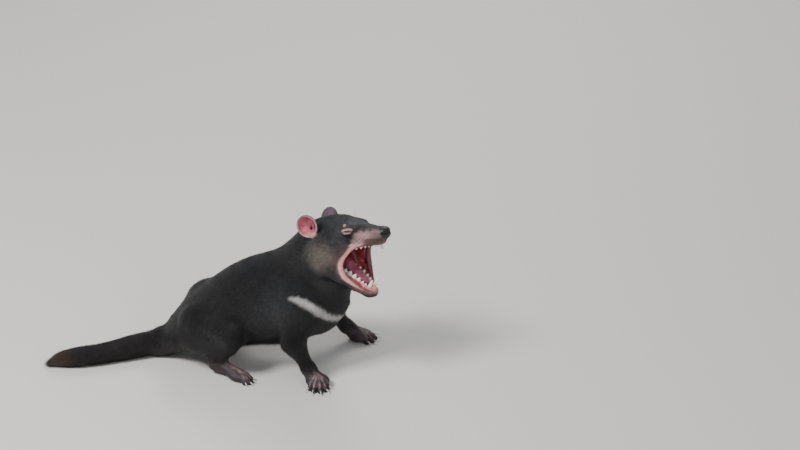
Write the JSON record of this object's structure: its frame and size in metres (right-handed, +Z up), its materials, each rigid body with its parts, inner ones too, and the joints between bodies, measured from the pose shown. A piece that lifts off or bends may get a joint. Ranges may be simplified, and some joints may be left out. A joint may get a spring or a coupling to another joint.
{
  "type": "tasmanian devil",
  "caption": "Life-size still model of a stocky black-coated marsupial, crouched on its hind feet with forelegs braced, head raised and jaws wide open.",
  "frame": {"origin": "on the floor, under the middle of the animal's box", "axes": "+X along the body towards the head, +Y to the animal's left, +Z up"},
  "size_m": [0.594, 0.2447, 0.3044],
  "materials": {
    "coat": "short dense fur",
    "ear_skin": "thin bare skin",
    "bare_paw_skin": "bare wrinkled skin",
    "nose_leather": "moist, finely pebbled",
    "tongue": "wet",
    "eye": "wet gloss",
    "claw_horn": "smooth horn"
  },
  "bodies": {
    "root": {"claw_fore_left_1": "claw_horn", "claw_fore_left_2": "claw_horn", "claw_fore_left_3": "claw_horn", "claw_fore_left_4": "claw_horn", "claw_fore_left_5": "claw_horn", "claw_fore_right_1": "claw_horn", "claw_fore_right_2": "claw_horn", "claw_fore_right_3": "claw_horn", "claw_fore_right_4": "claw_horn", "claw_fore_right_5": "claw_horn", "claw_hind_left_1": "claw_horn", "claw_hind_left_2": "claw_horn", "claw_hind_left_3": "claw_horn", "claw_hind_left_4": "claw_horn", "claw_hind_right_1": "claw_horn", "claw_hind_right_2": "claw_horn", "claw_hind_right_3": "claw_horn", "claw_hind_right_4": "claw_horn", "ear_left": "ear_skin", "ear_right": "ear_skin", "eye_left": "eye", "eye_right": "eye", "forearm_left": "coat", "forearm_right": "coat", "forepaw_left": "bare_paw_skin", "forepaw_right": "bare_paw_skin", "head": "coat", "hind_foot_left": "bare_paw_skin", "hind_foot_right": "bare_paw_skin", "lower_jaw": "coat", "neck": "coat", "nose": "nose_leather", "shank_left": "coat", "shank_right": "coat", "tail_base": "coat", "tail_end": "coat", "tail_middle": "coat", "thigh_left": "coat", "thigh_right": "coat", "tongue": "tongue", "trunk_front": "coat", "trunk_rear": "coat", "upper_arm_left": "coat", "upper_arm_right": "coat"}
  },
  "joints": []
}
